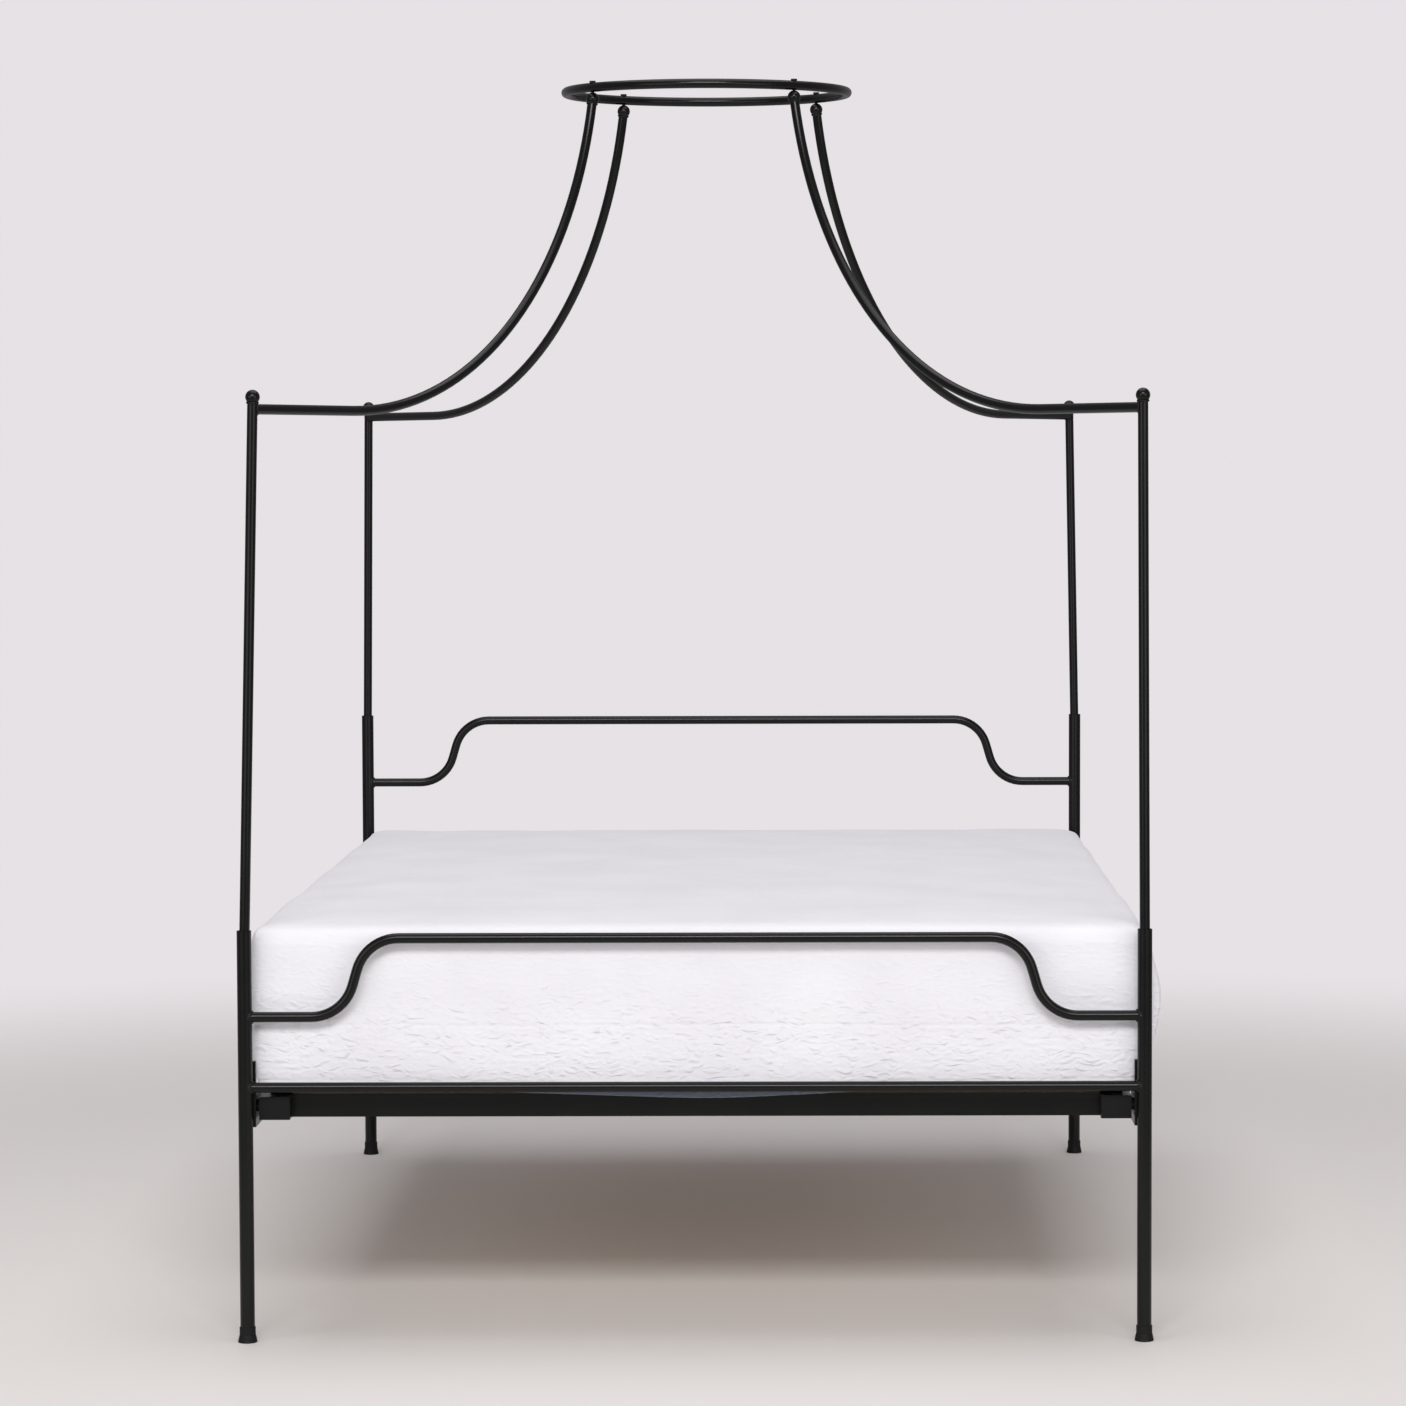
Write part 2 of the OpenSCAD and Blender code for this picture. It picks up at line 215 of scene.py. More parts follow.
@dataclass(frozen=True)
class Moulding:
    """A black moulded part, of rubber or plastic, with the fine spark texture of its mould."""

    name: str
    colour: str
    roughness: float
    grain: float
    grain_height: float
    gloss: float
    scuff: float = 25 * MM
    scuffed: float = 0.08

    def build(self) -> bpy.types.Material:
        """Returns the material."""
        material, tree, place = blank_material(self.name)
        grain = add_node(
            tree, "ShaderNodeTexNoise", {"Scale": 1 / self.grain, "Detail": 2.0}, {"Vector": place}
        )
        scuffs = add_node(
            tree, "ShaderNodeTexNoise", {"Scale": 1 / self.scuff, "Detail": 4.0}, {"Vector": place}
        )
        rough = add_node(
            tree,
            "ShaderNodeMapRange",
            {"To Min": self.roughness - self.scuffed, "To Max": self.roughness + self.scuffed},
            {"Value": scuffs.outputs["Fac"]},
        )
        bump = add_node(
            tree,
            "ShaderNodeBump",
            {"Strength": 0.6, "Distance": self.grain_height},
            {"Height": grain.outputs["Fac"]},
        )
        shade(
            tree,
            {"Base Color": linear(self.colour), "IOR": 1.5, "Specular IOR Level": self.gloss},
            {"Roughness": rough.outputs["Result"], "Normal": bump.outputs["Normal"]},
        )
        return material


@dataclass(frozen=True)
class ZincPlate:
    """Bright zinc plate on steel screws: a thin bluish metal film, faintly cloudy from the bath."""

    name: str = "bright_zinc_plate"
    colour: str = "b9bcc2"
    cloud: float = 3 * MM
    roughness: tuple[float, float] = (0.24, 0.38)

    def build(self) -> bpy.types.Material:
        """Returns the material."""
        material, tree, place = blank_material(self.name)
        cloud = add_node(
            tree, "ShaderNodeTexNoise", {"Scale": 1 / self.cloud, "Detail": 3.0}, {"Vector": place}
        )
        rough = add_node(
            tree,
            "ShaderNodeMapRange",
            {"To Min": self.roughness[0], "To Max": self.roughness[1]},
            {"Value": cloud.outputs["Fac"]},
        )
        shade(
            tree,
            {"Base Color": linear(self.colour), "Metallic": 1.0},
            {"Roughness": rough.outputs["Result"]},
        )
        return material


@dataclass(frozen=True)
class BirchPly:
    """Clear lacquered birch plywood, cut to slats along its face grain.

    Its faces show pale, slightly figured grain along the slat, and its edges show the plies.
    """

    name: str = "birch_plywood"
    pale: str = "e2c795"
    brown: str = "c39a60"
    ply_dark: str = "8a6338"
    ply: float = 1.4 * MM
    grain: float = 2.5 * MM
    grain_stretch: float = 40.0
    grain_height: float = 0.05 * MM
    figure: float = 14 * MM
    brown_below: float = 0.12
    pale_above: float = 0.42
    roughness: float = 0.42

    def build(self) -> bpy.types.Material:
        """Returns the material."""
        material, tree, place = blank_material(self.name)
        along = add_node(
            tree, "ShaderNodeMapping", {"Scale": (1 / self.grain_stretch, 1.0, 1.0)}, {"Vector": place}
        )
        grain = add_node(
            tree,
            "ShaderNodeTexNoise",
            {"Scale": 1 / self.grain, "Detail": 5.0, "Distortion": 0.4},
            {"Vector": along.outputs["Vector"]},
        )
        figure = add_node(
            tree,
            "ShaderNodeTexNoise",
            {"Scale": 1 / self.figure, "Detail": 2.0, "Distortion": 1.2},
            {"Vector": along.outputs["Vector"]},
        )
        tone = add_node(
            tree,
            "ShaderNodeMath",
            {"operation": "MULTIPLY"},
            {0: grain.outputs["Fac"], 1: figure.outputs["Fac"]},
        )
        face = add_node(tree, "ShaderNodeValToRGB", {}, {"Fac": tone.outputs["Value"]})
        stops = ((self.brown_below, self.brown), (self.pale_above, self.pale))
        for element, (position, tint) in zip(face.color_ramp.elements, stops):
            element.position = position
            element.color = linear(tint)
        # Every second ply lies across the first, so it shows its dark end grain on a long edge.
        split = add_node(tree, "ShaderNodeSeparateXYZ", {}, {"Vector": place})
        plies = add_node(
            tree, "ShaderNodeMath", {"operation": "PINGPONG", 1: self.ply}, {0: split.outputs["Z"]}
        )
        dark_ply = add_node(
            tree,
            "ShaderNodeMath",
            {"operation": "GREATER_THAN", 1: self.ply / 2},
            {0: plies.outputs["Value"]},
        )
        normal = add_node(tree, "ShaderNodeNewGeometry")
        facing = add_node(tree, "ShaderNodeSeparateXYZ", {}, {"Vector": normal.outputs["True Normal"]})
        level = add_node(tree, "ShaderNodeMath", {"operation": "ABSOLUTE"}, {0: facing.outputs["Z"]})
        edge = add_node(
            tree, "ShaderNodeMath", {"operation": "LESS_THAN", 1: 0.5}, {0: level.outputs["Value"]}
        )
        dark_edge = add_node(
            tree,
            "ShaderNodeMath",
            {"operation": "MULTIPLY"},
            {0: edge.outputs["Value"], 1: dark_ply.outputs["Value"]},
        )
        colour = add_node(
            tree,
            "ShaderNodeMix",
            {"data_type": "RGBA", 7: linear(self.ply_dark)},
            {0: dark_edge.outputs["Value"], 6: face.outputs["Color"]},
        )
        bump = add_node(
            tree,
            "ShaderNodeBump",
            {"Strength": 0.3, "Distance": self.grain_height},
            {"Height": grain.outputs["Fac"]},
        )
        shade(
            tree,
            {"Roughness": self.roughness, "IOR": 1.5},
            {"Base Color": colour.outputs[2], "Normal": bump.outputs["Normal"]},
        )
        return material


@dataclass(frozen=True)
class KnitCover:
    """White crinkled knit of polyester and cotton, quilted to a thin wadding over the mattress.

    Its loops lie in fine rows and give a soft, matt surface that lightens towards its outline.
    """

    name: str = "white_crinkle_knit"
    white: str = "ebeaee"
    hollow: str = "dedce2"
    # painted shade: the base cloth's blue-grey is dark enough to stand in for the shade under the foot
    # edge
    base_cloth_and_painted_shade: str = "525b67"
    base_top: float = 0.0
    loop: float = 3.2 * MM  # real loops are about 1 mm, too fine to show
    loop_stretch: float = 0.45
    loop_height: float = 0.2 * MM
    fuzz: float = 1.8 * MM
    wash: float = 180 * MM
    rib_pitch: float = 7 * MM
    rib_length: float = 15 * MM
    rib_height: float = 4.6 * MM
    bend_length: float = 55 * MM
    bend_height: float = 22 * MM
    taut_rise: float = 0.21
    slack_rise: float = 0.09
    taut_ribs: float = 0.3
    roughness: float = 0.85
    sheen: float = 0.25

    def build(self) -> bpy.types.Material:
        """Returns the material."""
        material, tree, place = blank_material(self.name)
        wide = self.loop_stretch
        rows = add_node(tree, "ShaderNodeMapping", {"Scale": (wide, wide, 1.0)}, {"Vector": place})
        loops = add_node(
            tree,
            "ShaderNodeTexVoronoi",
            {"feature": "SMOOTH_F1", "Scale": 1 / self.loop, "Smoothness": 0.6},
            {"Vector": rows.outputs["Vector"]},
        )
        fuzz = add_node(
            tree, "ShaderNodeTexNoise", {"Scale": 1 / self.fuzz, "Detail": 3.0}, {"Vector": place}
        )
        wash = add_node(
            tree, "ShaderNodeTexNoise", {"Scale": 1 / self.wash, "Detail": 3.0}, {"Vector": place}
        )
        height = add_node(
            tree,
            "ShaderNodeMath",
            {"operation": "ADD"},
            {0: loops.outputs["Distance"], 1: fuzz.outputs["Fac"]},
        )
        shadow = add_node(
            tree,
            "ShaderNodeMapRange",
            {"From Min": 0.3, "From Max": 0.75, "To Min": 0.0, "To Max": 0.55},
            {"Value": wash.outputs["Fac"]},
        )
        colour = add_node(
            tree,
            "ShaderNodeMix",
            {"data_type": "RGBA", 6: linear(self.white), 7: linear(self.hollow)},
            {0: shadow.outputs["Result"]},
        )
        # Short wavy ribs lie across the sides, where the knit has shrunk over its wadding.
        flat = self.rib_pitch / self.rib_length
        bend = add_node(
            tree, "ShaderNodeTexNoise", {"Scale": 1 / self.bend_length, "Detail": 1.0}, {"Vector": place}
        )
        bent = add_node(
            tree,
            "ShaderNodeVectorMath",
            {"operation": "MULTIPLY_ADD", 1: (0.0, 0.0, self.bend_height)},
            {0: bend.outputs["Color"], 2: place},
        )
        ribs = add_node(
            tree, "ShaderNodeMapping", {"Scale": (flat, flat, 1.0)}, {"Vector": bent.outputs["Vector"]}
        )
        rib = add_node(
            tree,
            "ShaderNodeTexNoise",
            {
                "noise_type": "RIDGED_MULTIFRACTAL",
                "normalize": True,
                "Scale": 0.75 / self.rib_pitch,
                "Detail": 1.5,
                "Roughness": 0.4,
                "Distortion": 0.5,
            },
            {"Vector": ribs.outputs["Vector"]},
        )
        split = add_node(tree, "ShaderNodeSeparateXYZ", {}, {"Vector": place})
        slack = add_node(
            tree,
            "ShaderNodeMapRange",
            {
                "interpolation_type": "SMOOTHSTEP",
                "From Min": self.base_top + self.taut_rise,
                "From Max": self.base_top + self.slack_rise,
                "To Min": self.taut_ribs,
            },
            {"Value": split.outputs["Z"]},
        )
        relief = add_node(
            tree,
            "ShaderNodeMath",
            {"operation": "MULTIPLY"},
            {0: rib.outputs["Fac"], 1: slack.outputs["Result"]},
        )
        ribbed = add_node(
            tree,
            "ShaderNodeBump",
            {"Strength": 0.9, "Distance": self.rib_height},
            {"Height": relief.outputs["Value"]},
        )
        bump = add_node(
            tree,
            "ShaderNodeBump",
            {"Strength": 0.35, "Distance": self.loop_height},
            {"Height": height.outputs["Value"], "Normal": ribbed.outputs["Normal"]},
        )
        # The underside is a blue-grey non-woven base cloth, which starts at the hem. Its colour is kept
        # dark as painted shade, standing in for the shade under the foot edge where it hangs over the
        # crossbar.
        under = add_node(
            tree,
            "ShaderNodeMapRange",
            {"From Min": self.base_top, "From Max": self.base_top - MM},
            {"Value": split.outputs["Z"]},
        )
        colour = add_node(
            tree,
            "ShaderNodeMix",
            {"data_type": "RGBA", 7: linear(self.base_cloth_and_painted_shade)},
            {0: under.outputs["Result"], 6: colour.outputs[2]},
        )
        shade(
            tree,
            {
                "Roughness": self.roughness,
                "IOR": 1.45,
                "Sheen Weight": self.sheen,
                "Sheen Roughness": 0.5,
            },
            {"Base Color": colour.outputs[2], "Normal": bump.outputs["Normal"]},
        )
        return material


FINISHES = {
    Slot.POWDER_COAT: PowderCoat(),
    Slot.RUBBER: Moulding("black_rubber", "0c0c0c", 0.62, 1.2 * MM, 0.05 * MM, 0.25),
    Slot.PLASTIC: Moulding("black_polypropylene", "0a0a0b", 0.5, 0.9 * MM, 0.03 * MM, 0.2),
    Slot.ZINC: ZincPlate(),
    Slot.BIRCH: BirchPly(),
    Slot.COVER: KnitCover(base_top=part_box("mattress")[0].z - COVER_HEM),
}


# ---------------------------------------------------------------- modelling


def activate(piece: bpy.types.Object) -> None:
    """Makes a piece the only selected one."""
    bpy.ops.object.select_all(action="DESELECT")
    piece.select_set(True)
    bpy.context.view_layer.objects.active = piece


def settle(piece: bpy.types.Object, name: str) -> bpy.types.Object:
    """Names a piece and moves its place into its mesh.

    Args:
        piece: A piece in its place.
        name: Its name.

    Returns:
        The piece, with its object at the origin, unturned and unscaled.
    """
    activate(piece)
    bpy.ops.object.transform_apply(location=True, rotation=True, scale=True)
    piece.name = name
    piece.data.name = name
    return piece


def modify(piece: bpy.types.Object, kind: str, settings: dict[str, object]) -> None:
    """Adds a modifier to a piece and applies it.

    Args:
        piece: The piece.
        kind: The modifier's type, such as "REMESH".
        settings: The modifier's settings.
    """
    activate(piece)
    modifier = piece.modifiers.new(kind.title(), kind)
    for name, value in settings.items():
        setattr(modifier, name, value)
    bpy.ops.object.modifier_apply(modifier=modifier.name)


def points_of(mesh: bpy.types.Mesh) -> np.ndarray:
    """Returns a mesh's vertices, one row each."""
    found = np.zeros(len(mesh.vertices) * 3)
    mesh.vertices.foreach_get("co", found)
    return found.reshape(-1, 3)


def move_points(mesh: bpy.types.Mesh, points: np.ndarray) -> None:
    """Gives a mesh's vertices new places."""
    mesh.vertices.foreach_set("co", points.ravel())
    mesh.update()


def select_edges(piece: bpy.types.Object, wanted: Callable[[Vector, Vector], bool]) -> None:
    """Goes to edit mode with only some edges selected.

    Args:
        piece: The active piece, in object mode.
        wanted: Tells from an edge's two ends whether it is selected.
    """
    bpy.ops.object.mode_set(mode="EDIT")
    bpy.ops.mesh.select_mode(type="EDGE")
    bpy.ops.mesh.select_all(action="DESELECT")
    bpy.ops.object.mode_set(mode="OBJECT")
    mesh = piece.data
    for edge in mesh.edges:
        first, second = (mesh.vertices[i].co for i in edge.vertices)
        edge.select = wanted(first, second)
    bpy.ops.object.mode_set(mode="EDIT")


def smooth_step(low: float, high: float, values: np.ndarray) -> np.ndarray:
    """Rises smoothly from 0 at low to 1 at high, and falls where low is the higher one."""
    share = np.clip((values - low) / (high - low), 0, 1)
    return share * share * (3 - 2 * share)


def solids_of(node: str, reach: float = 12 * MM) -> list[tuple[Vector, Vector]]:
    """Finds the boxes of a group node's separate solids.

    Args:
        node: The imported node.
        reach: The least distance between two of its solids.

    Returns:
        The lowest and highest corner of each solid, in order along X, Y and Z.
    """
    points = points_of(frame["nodes"][node].data)
    cells: dict[tuple[int, ...], list[int]] = {}
    for index, cell in enumerate(np.floor(points / reach).astype(int)):
        cells.setdefault(tuple(int(c) for c in cell), []).append(index)
    left, boxes = set(cells), []
    steps = [(i, j, k) for i in (-1, 0, 1) for j in (-1, 0, 1) for k in (-1, 0, 1)]
    for start in sorted(cells):
        if start not in left:
            continue
        group, queue = [], [start]
        left.discard(start)
        while queue:
            cell = queue.pop()
            group += cells[cell]
            near = [tuple(c + s for c, s in zip(cell, step)) for step in steps]
            for other in [n for n in near if n in left]:
                left.discard(other)
                queue.append(other)
        boxes.append((Vector(points[group].min(0)), Vector(points[group].max(0))))
    return boxes


def attach(piece: bpy.types.Object, body: Body, finish: bpy.types.Material) -> None:
    """Gives a finished piece its material and its body.

    Args:
        piece: The piece.
        body: The body that it rides on.
        finish: Its material.
    """
    piece.data.materials.clear()
    piece.data.materials.append(finish)
    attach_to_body(piece, body.value)
    LOG.info("%s: %d faces", piece.name, len(piece.data.polygons))


# ---------------------------------------------------------------- the object


@dataclass
class PackedParts:
    """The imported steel, timber and moulded parts, which only need their finishes."""

    materials: dict[Slot, bpy.types.Material]

    def dress(self) -> None:
        """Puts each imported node's finish on it."""
        for row in frame["record"]["subparts"]:
            mesh = frame["nodes"][row["node"]].data
            mesh.materials.clear()
            mesh.materials.append(self.materials[Slot(row["material_slot"])])


@dataclass
class Welds:
    """Fillet welds, left as they were laid and coated over.

    Each closes the gap between a coped tube's end and the post or ball that it meets.
    """

    materials: dict[Slot, bpy.types.Material]
    tube_r: float = 9 * MM
    post_r: float = 12.7 * MM
    bead: float = 2.4 * MM
    flat_bead: float = 0.8
    ripple: float = 0.12
    ripples: int = 26
    ball_r: float = 12.5 * MM
    ball_seat: float = 9.2 * MM
    ball_rise: float = 21 * MM

    def ring(self, name: str, post_r: float, bead: float) -> bpy.types.Object:
        """Makes a bead round a tube that runs along +X from a post at the origin.

        Args:
            name: The bead's name.
            post_r: The radius of the post that the bead follows, or 0 for a flat ring.
            bead: The bead's radius.

        Returns:
            The bead, with its ripples.
        """
        bpy.ops.object.select_all(action="DESELECT")
        bpy.ops.mesh.primitive_torus_add(
            major_segments=104,
            minor_segments=12,
            major_radius=self.tube_r,
            minor_radius=bead,
            rotation=(0, math.pi / 2, 0),
        )
        piece = settle(bpy.context.object, name)
        points = points_of(piece.data)
        turn = np.arctan2(points[:, 1], points[:, 2])
        centre = np.column_stack(
            [np.zeros(len(turn)), self.tube_r * np.sin(turn), self.tube_r * np.cos(turn)]
        )
        swell = 1 + self.ripple * np.sin(self.ripples * turn)
        points = centre + (points - centre) * swell[:, None]
        if post_r > 0:
            side = np.clip(points[:, 1], -post_r, post_r)
            points[:, 0] += np.sqrt(post_r**2 - side**2 * 0.98)
        move_points(piece.data, points)
        activate(piece)
        bpy.ops.object.shade_smooth()
        return piece

    def place(self, pattern: bpy.types.Object, name: str, place: Matrix, body: Body) -> None:
        """Copies a bead, with its own mesh, to its place.

        Args:
            pattern: The bead to copy.
            name: The copy's name.
            place: Where it goes, from the origin and +X.
            body: The body that it rides on.
        """
        piece = pattern.copy()
        piece.data = pattern.data.copy()
        bpy.context.scene.collection.objects.link(piece)
        piece.matrix_world = place
        settle(piece, name)
        attach(piece, body, self.materials[Slot.POWDER_COAT])

    def rail_welds(self) -> None:
        """Welds both ends of each top rail and cross tube to the posts."""
        pattern = self.ring("weld_pattern", self.post_r, self.bead)
        for end, corners in (("foot", CORNERS[:2]), ("head", CORNERS[2:])):
            for tube in ("top_rail", "cross_tube"):
                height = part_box(f"{end}_{tube}")[0].z + self.tube_r
                for corner in corners:
                    low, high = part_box(f"lower_post_{corner}")
                    middle = (low + high) / 2
                    inward = Matrix.Rotation(0.0 if middle.x < 0 else math.pi, 4, "Z")
                    place = Matrix.Translation((middle.x, middle.y, height)) @ inward
                    self.place(pattern, f"weld_{tube}_{corner}", place, Body.FRAME)
        bpy.data.objects.remove(pattern)

    def canopy_welds(self) -> None:
        """Welds each arm to its upper post and both balls to their tubes."""
        arm_bead = self.ring("weld_pattern", self.tube_r, self.bead)
        ball_bead = self.ring("weld_pattern_flat", 0.0, self.flat_bead * self.bead)
        balls = [(low + high) / 2 for low, high in solids_of("arm_balls")]
        for corner in CORNERS:
            arm = points_of(frame["nodes"][f"canopy_arm_{corner}"].data)
            arm_end = Vector(arm[arm[:, 2] > arm[:, 2].max() - 4 * MM].mean(0))
            finial_low, finial_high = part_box(f"finial_{corner}")
            finial = Vector(
                ((finial_low.x + finial_high.x) / 2, (finial_low.y + finial_high.y) / 2, finial_high.z)
            )
            post = points_of(frame["nodes"][f"upper_post_{corner}"].data)
            post_end = Vector(post[post[:, 2] > post[:, 2].max() - MM].mean(0))
            ball_centre = Vector((finial.x, finial.y, finial.z - self.ball_r))
            arm_start = ball_centre - Vector((0, 0, self.ball_rise))
            turn = math.atan2(arm_end.y - arm_start.y, arm_end.x - arm_start.x)
            place = Matrix.Translation(arm_start) @ Matrix.Rotation(turn, 4, "Z")
            self.place(arm_bead, f"weld_arm_{corner}", place, Body.CANOPY)
            rise = (ball_centre - post_end).to_track_quat("X", "Y").to_matrix().to_4x4()
            self.place(
                ball_bead, f"weld_finial_{corner}", Matrix.Translation(post_end) @ rise, Body.CANOPY
            )
            ball = min(balls, key=lambda centre: (centre - arm_end).length)
            rise = (ball - arm_end).to_track_quat("X", "Y").to_matrix().to_4x4()
            seat = ball - (ball - arm_end).normalized() * self.ball_seat
            self.place(ball_bead, f"weld_ball_{corner}", Matrix.Translation(seat) @ rise, Body.CANOPY)
        bpy.data.objects.remove(arm_bead)
        bpy.data.objects.remove(ball_bead)

    def build(self) -> None:
        """Makes all the welds."""
        self.rail_welds()
        self.canopy_welds()


@dataclass
class Mattress:
    """A sprung mattress in a crinkled knitted cover that is quilted to its wadding.

    The form is inflated as cloth, a finer skin is drawn onto it, and the crinkles and seams are shaped
    in the skin.
    """

    materials: dict[Slot, bpy.types.Material]
    top_r: float = 25 * MM
    upright_r: float = 20 * MM
    hem_r: float = 9 * MM
    edge_steps: int = 8
    swell: float = 7 * MM
    inset: float = -2 * MM
    voxel: float = 14 * MM
    frames: int = 20
    pressure: float = 4.0
    cuts: tuple[tuple[int, ...], ...] = ((100, 1), (100, 2), (96,))
    crinkle: float = 1.15 * MM
    crinkle_pitch: float = 6.2 * MM
    crinkle_length: float = 20 * MM
    taut_share: float = 0.3
    bend: float = 5 * MM
    bend_length: float = 55 * MM
    fold: float = 2.5 * MM
    fold_length: float = 0.17
    seam_rise: float = 113 * MM
    hem_rise: float = 20 * MM
    seam_depth: float = 1.6 * MM
    seam_w: float = 2.2 * MM
    seam_wave: float = 1.5 * MM
    bulge: float = 24 * MM
    bulge_rise: float = 0.155
    bulge_half: float = 0.085
    tuck: float = 17 * MM
    left_spread: float = 12 * MM
    hang: float = 4 * MM
    droop: float = 13 * MM
    droop_half: float = 0.42
    crown: float = 9 * MM

    def rounded_box(self, name: str, low: Vector, high: Vector) -> bpy.types.Object:
        """Makes a box with its top, its hem and its upright corners rounded, each in its own way.

        Args:
            name: The box's name.
            low: Its lowest corner.
            high: Its highest corner.

        Returns:
            The box.
        """
        bpy.ops.object.select_all(action="DESELECT")
        bpy.ops.mesh.primitive_cube_add(size=1, location=(low + high) / 2, scale=high - low)
        piece = settle(bpy.context.object, name)
        mesh = piece.data
        weights = mesh.attributes.new("bevel_weight_edge", "FLOAT", "EDGE")
        for edge, weight in zip(mesh.edges, weights.data):
            heights = [mesh.vertices[i].co.z > (low.z + high.z) / 2 for i in edge.vertices]
            radius = self.top_r if all(heights) else self.upright_r if any(heights) else self.hem_r
            weight.value = radius / self.top_r
        settings = {"width": self.top_r, "segments": self.edge_steps, "limit_method": "WEIGHT"}
        modify(piece, "BEVEL", settings)
        return piece

    def inflate(self, form: bpy.types.Object) -> None:
        """Swells the form as cloth under pressure, with its underside at rest on the slats.

        Args:
            form: The form, which is replaced by its swollen shape.
        """
        modify(form, "REMESH", {"mode": "VOXEL", "voxel_size": self.voxel})
        rest = points_of(form.data)
        underside = form.vertex_groups.new(name="underside")
        floor = rest[:, 2].min() + 4 * MM
        underside.add([int(i) for i in np.flatnonzero(rest[:, 2] < floor)], 1.0, "REPLACE")
        activate(form)
        cloth = form.modifiers.new("Cloth", "CLOTH")
        settings = {
            "quality": 5,
            "mass": 0.3,
            "tension_stiffness": 15,
            "compression_stiffness": 15,
            "bending_stiffness": 0.5,
            "use_pressure": True,
            "uniform_pressure_force": self.pressure,
            "vertex_group_mass": underside.name,
        }
        for name, value in settings.items():
            setattr(cloth.settings, name, value)
        cloth.settings.effector_weights.gravity = 0
        cloth.point_cache.frame_start = 1
        cloth.point_cache.frame_end = self.frames
        for step in range(1, self.frames + 1):
            bpy.context.scene.frame_set(step)
        bpy.ops.object.modifier_apply(modifier=cloth.name)
        moved = points_of(form.data) - rest
        length = np.linalg.norm(moved, axis=1, keepdims=True)
        capped = moved * np.minimum(1, self.swell / np.maximum(length, 1e-9))
        move_points(form.data, rest + capped)
        LOG.info("swelled by up to %.1f mm before the cap", length.max() / MM)

    def skin(self, low: Vector, high: Vector) -> bpy.types.Object:
        """Makes the fine skin: a rounded box cut across each way.

        Args:
            low: The lowest corner.
            high: The highest corner.

        Returns:
            The skin, fine enough upright for the crinkles' rows.
        """
        skin = self.rounded_box("mattress_cover", low, high)
        for axis, passes in enumerate(self.cuts):
            straight = (high - low)[axis]
            for cuts in passes:
                activate(skin)
                select_edges(skin, lambda first, second: abs((second - first)[axis]) > 0.6 * straight)
                bpy.ops.mesh.subdivide(number_cuts=cuts)
                bpy.ops.object.mode_set(mode="OBJECT")
                straight /= cuts + 1
        return skin

    def relief(self, points: np.ndarray, rise: np.ndarray, upright: np.ndarray) -> np.ndarray:
        """Works out how far the cover stands out with its crinkles, its folds and its seams.

        Args:
            points: The skin's vertices, one row each.
            rise: How high each one is above the mattress's underside.
            upright: How upright the skin is at each one, from 0 to 1.

        Returns:
            How far each one moves along its normal.
        """
        # Fine crinkles run level round the sides, deepest low down where the cover is slack.
        bend = self.bend * np.array([noise.noise(Vector(point) / self.bend_length) for point in points])
        level = (points[:, 2] + bend) / self.crinkle_pitch
        ribs = np.array([
            abs(noise.noise(Vector((x / self.crinkle_length, y / self.crinkle_length, z))))
            + 0.4 * abs(noise.noise(Vector((x / (0.5 * self.crinkle_length), y, 2 * z))))
            for (x, y, _), z in zip(points, level)
        ])
        folds = np.array([noise.noise(Vector((x, y, 2.5 * z)) / self.fold_length) for x, y, z in points])
        slack = self.taut_share + (1 - self.taut_share) * smooth_step(0.20, 0.10, rise)
        slack *= 1 + 0.5 * smooth_step(0.25, 0.75, points[:, 0])
        depth = self.crinkle * slack * (2.2 * np.sqrt(ribs) - 1.0) * (0.25 + 0.75 * upright)
        depth += self.fold * folds
        wave = self.seam_wave * np.sin(points[:, 0] * 9 + 1) * np.cos(points[:, 1] * 7)
        for seam in (self.seam_rise, self.hem_rise):
            depth -= self.seam_depth * upright * np.exp(-(((rise - seam - wave) / self.seam_w) ** 2))
        return depth

    def shape(self, skin: bpy.types.Object, low: Vector, high: Vector) -> None:
        """Gives the skin its relief, its bulge, its sag and its crown.

        Args:
            skin: The skin, on the swollen form.
            low: The mattress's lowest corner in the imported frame.
            high: Its highest corner.
        """
        activate(skin)
        bpy.ops.object.shade_smooth()
        mesh = skin.data
        points = points_of(mesh)
        normals = np.zeros(len(points) * 3)
        mesh.vertices.foreach_get("normal", normals)
        normals = normals.reshape(-1, 3)
        upright = smooth_step(0.75, 0.35, np.abs(normals[:, 2]))
        rise = points[:, 2] - low.z
        points += normals * self.relief(points, rise, upright)[:, None]
        # The right side stands proud at half its height and tucks in over the rail.
        right = smooth_step(high.x - 90 * MM, high.x - 15 * MM, points[:, 0])
        foot = 0.45 + 0.55 * smooth_step(-0.2, -0.8, points[:, 1])
        proud = np.exp(-(((rise - self.bulge_rise) / self.bulge_half) ** 2))
        tucked = smooth_step(0.095, 0.01, rise)
        points[:, 0] += right * foot * (self.bulge * proud - self.tuck * tucked)
        left = smooth_step(low.x + 90 * MM, low.x + 15 * MM, points[:, 0])
        points[:, 0] -= left * self.left_spread * smooth_step(0, 60 * MM, rise)
        # The foot edge sags a little between the side rails, where it hangs over the foot crossbar.
        across = np.clip(np.abs(points[:, 0]) / self.droop_half, 0, 1)
        overhang = smooth_step(low.y + 30 * MM, low.y + 22 * MM, points[:, 1])
        sag = (self.hang + self.droop * np.cos(across * math.pi / 2) ** 2) * overhang
        points[:, 2] -= sag * smooth_step(60 * MM, 10 * MM, rise)
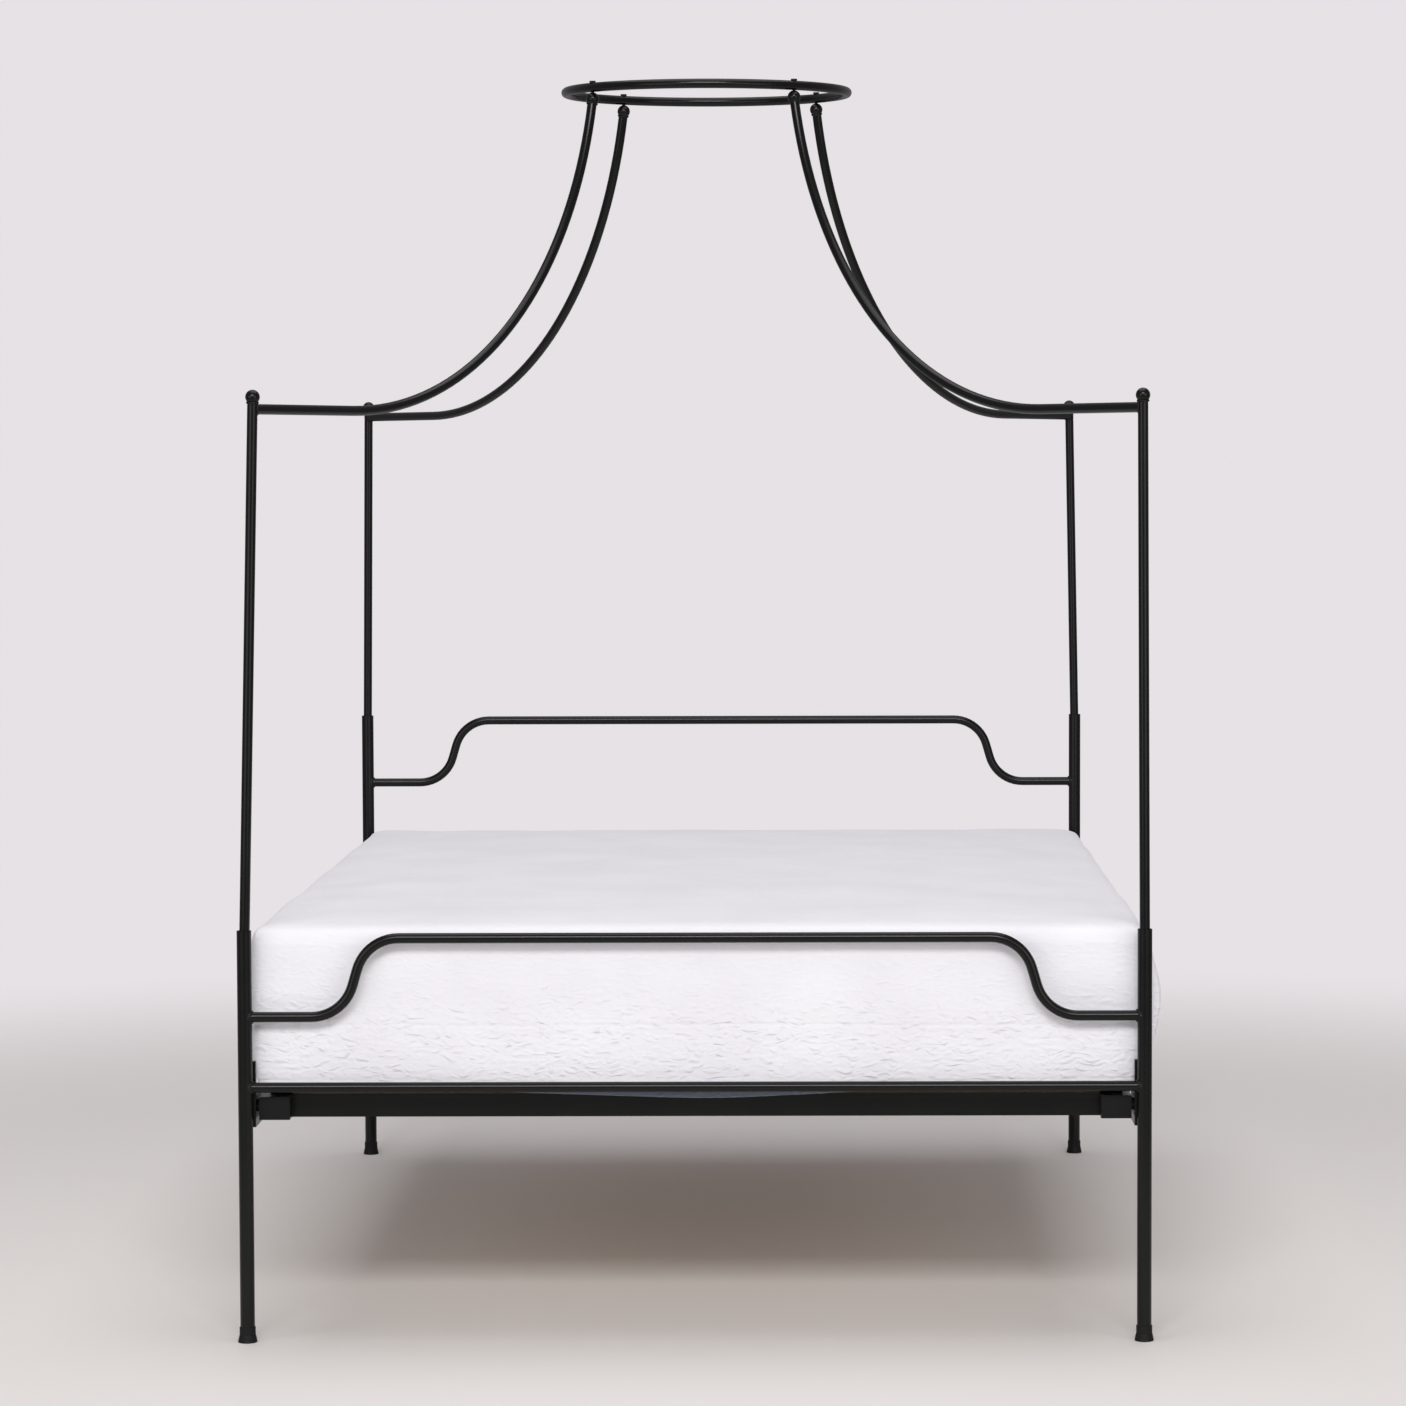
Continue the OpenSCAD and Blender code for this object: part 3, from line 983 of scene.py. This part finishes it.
        # The top crowns a little towards the middle.
        half = np.array([(high.x - low.x) / 2, (high.y - low.y) / 2])
        middle = np.array([(high.x + low.x) / 2, (high.y + low.y) / 2])
        dome = np.prod(1 - np.clip(np.abs(points[:, :2] - middle) / half, 0, 1) ** 3, axis=1)
        points[:, 2] += self.crown * dome * smooth_step(0.20, 0.27, rise)
        move_points(mesh, points)

    def build(self) -> None:
        """Makes the mattress."""
        low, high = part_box("mattress")
        inset = Vector((self.inset, self.inset, 0))
        top_inset = Vector((0, 0, self.inset))
        skin = self.skin(low, high)
        form = self.rounded_box("mattress_form", low + inset, high - inset - top_inset)
        self.inflate(form)
        modify(skin, "SHRINKWRAP", {"target": form, "wrap_method": "NEAREST_SURFACEPOINT"})
        modify(skin, "SMOOTH", {"factor": 0.5, "iterations": 6})
        bpy.data.objects.remove(form)
        self.shape(skin, low, high)
        attach(skin, Body.MATTRESS, self.materials[Slot.COVER])
        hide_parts("mattress")


# ---------------------------------------------------------------- the studio


@dataclass(frozen=True)
class View:
    """The camera: where it stands, how it is turned, and its lens."""

    place: tuple[float, float, float] = (0.2184, -8.3927, 1.5142)
    turned_left: float = 0.00263
    pitched_down: float = 0.05457
    rolled: float = -0.00238
    lens: float = 109.46
    sensor: float = 36.0
    shift: float = -0.0752

    def build(self) -> None:
        """Makes the camera and looks through it."""
        yaw, pitch = self.turned_left, self.pitched_down
        ahead = Vector(
            (-math.sin(yaw) * math.cos(pitch), math.cos(yaw) * math.cos(pitch), -math.sin(pitch))
        )
        level = Vector((math.cos(yaw), math.sin(yaw), 0))
        over = level.cross(ahead)
        right = level * math.cos(self.rolled) + over * math.sin(self.rolled)
        up = over * math.cos(self.rolled) - level * math.sin(self.rolled)
        data = bpy.data.cameras.new("camera")
        data.lens = self.lens
        data.sensor_width = self.sensor
        data.shift_x = self.shift
        data.clip_end = 100
        camera = bpy.data.objects.new("camera", data)
        bpy.context.scene.collection.objects.link(camera)
        turn = Matrix((right, up, -ahead)).transposed().to_4x4()
        camera.matrix_world = Matrix.Translation(self.place) @ turn
        bpy.context.scene.camera = camera


@dataclass(frozen=True)
class Softbox:
    """A large soft light that is aimed at a point."""

    name: str
    place: tuple[float, float, float]
    aim: tuple[float, float, float]
    size: tuple[float, float]
    power: float

    def build(self) -> None:
        """Hangs the light."""
        data = bpy.data.lights.new(self.name, "AREA")
        data.shape = "RECTANGLE"
        data.size, data.size_y = self.size
        data.energy = self.power
        light = bpy.data.objects.new(self.name, data)
        light.location = self.place
        light.rotation_mode = "QUATERNION"
        light.rotation_quaternion = (Vector(self.aim) - Vector(self.place)).to_track_quat("-Z", "Y")
        bpy.context.scene.collection.objects.link(light)


@dataclass(frozen=True)
class Studio:
    """A plain pale floor in soft light, which fades into the air around it."""

    floor_colour: str = "ece8e5"
    air_colour: str = "e6e2e5"
    air_seen: float = 1.0
    air_light: float = 0.35
    floor_r: float = 12.0
    fade: tuple[float, float] = (1.9, 4.8)
    softboxes: tuple[Softbox, ...] = (
        Softbox("left_softbox", (-3.6, -5.2, 1.9), (0, 0, 0.9), (3.6, 3.0), 58),
        Softbox("right_softbox", (3.6, -5.2, 1.9), (0, 0, 0.9), (3.6, 3.0), 58),
        Softbox("key", (0, -12.0, 7.5), (0, 0, 0.9), (7.0, 2.6), 860),
        Softbox("overhead", (0, 0.01, 6.0), (0, 0, 0), (5.0, 5.0), 136),
    )

    def floor(self) -> None:
        """Lays the floor, clear at its rim so that it has no horizon."""
        bpy.ops.object.select_all(action="DESELECT")
        bpy.ops.mesh.primitive_circle_add(vertices=64, radius=self.floor_r, fill_type="NGON")
        floor = settle(bpy.context.object, "floor")
        material, tree, place = blank_material("pale_floor")
        far = add_node(tree, "ShaderNodeVectorMath", {"operation": "LENGTH"}, {0: place})
        fade = add_node(
            tree,
            "ShaderNodeMapRange",
            {"interpolation_type": "SMOOTHSTEP", "From Min": self.fade[0], "From Max": self.fade[1]},
            {"Value": far.outputs["Value"]},
        )
        solid = add_node(
            tree,
            "ShaderNodeBsdfPrincipled",
            {"Base Color": linear(self.floor_colour), "Roughness": 0.6, "Specular IOR Level": 0.2},
        )
        clear = add_node(tree, "ShaderNodeBsdfTransparent")
        mixed = add_node(
            tree,
            "ShaderNodeMixShader",
            {},
            {0: fade.outputs["Result"], 1: solid.outputs["BSDF"], 2: clear.outputs["BSDF"]},
        )
        add_node(tree, "ShaderNodeOutputMaterial", {}, {"Surface": mixed.outputs["Shader"]})
        floor.data.materials.append(material)

    def air(self) -> None:
        """Fills the room with an even light, paler where it is looked at than where it lights."""
        world = bpy.data.worlds.new("air")
        world.use_nodes = True
        tree = world.node_tree
        tree.nodes.clear()
        ray = add_node(tree, "ShaderNodeLightPath")
        strength = add_node(
            tree,
            "ShaderNodeMapRange",
            {"To Min": self.air_light, "To Max": self.air_seen},
            {"Value": ray.outputs["Is Camera Ray"]},
        )
        air = add_node(
            tree,
            "ShaderNodeBackground",
            {"Color": linear(self.air_colour)},
            {"Strength": strength.outputs["Result"]},
        )
        add_node(tree, "ShaderNodeOutputWorld", {}, {"Surface": air.outputs["Background"]})
        bpy.context.scene.world = world

    def build(self) -> None:
        """Makes the floor, the air and the lights."""
        bpy.context.scene.view_settings.view_transform = "Standard"
        self.floor()
        self.air()
        for softbox in self.softboxes:
            softbox.build()


def main() -> None:
    """Builds the bed's looks in order."""
    logging.basicConfig(level=logging.INFO, format="%(name)s: %(message)s")
    bpy.ops.object.select_all(action="DESELECT")
    View().build()
    Studio().build()
    materials = {slot: finish.build() for slot, finish in FINISHES.items()}
    PackedParts(materials).dress()
    Welds(materials).build()
    Mattress(materials).build()


if __name__ == "__main__":
    main()
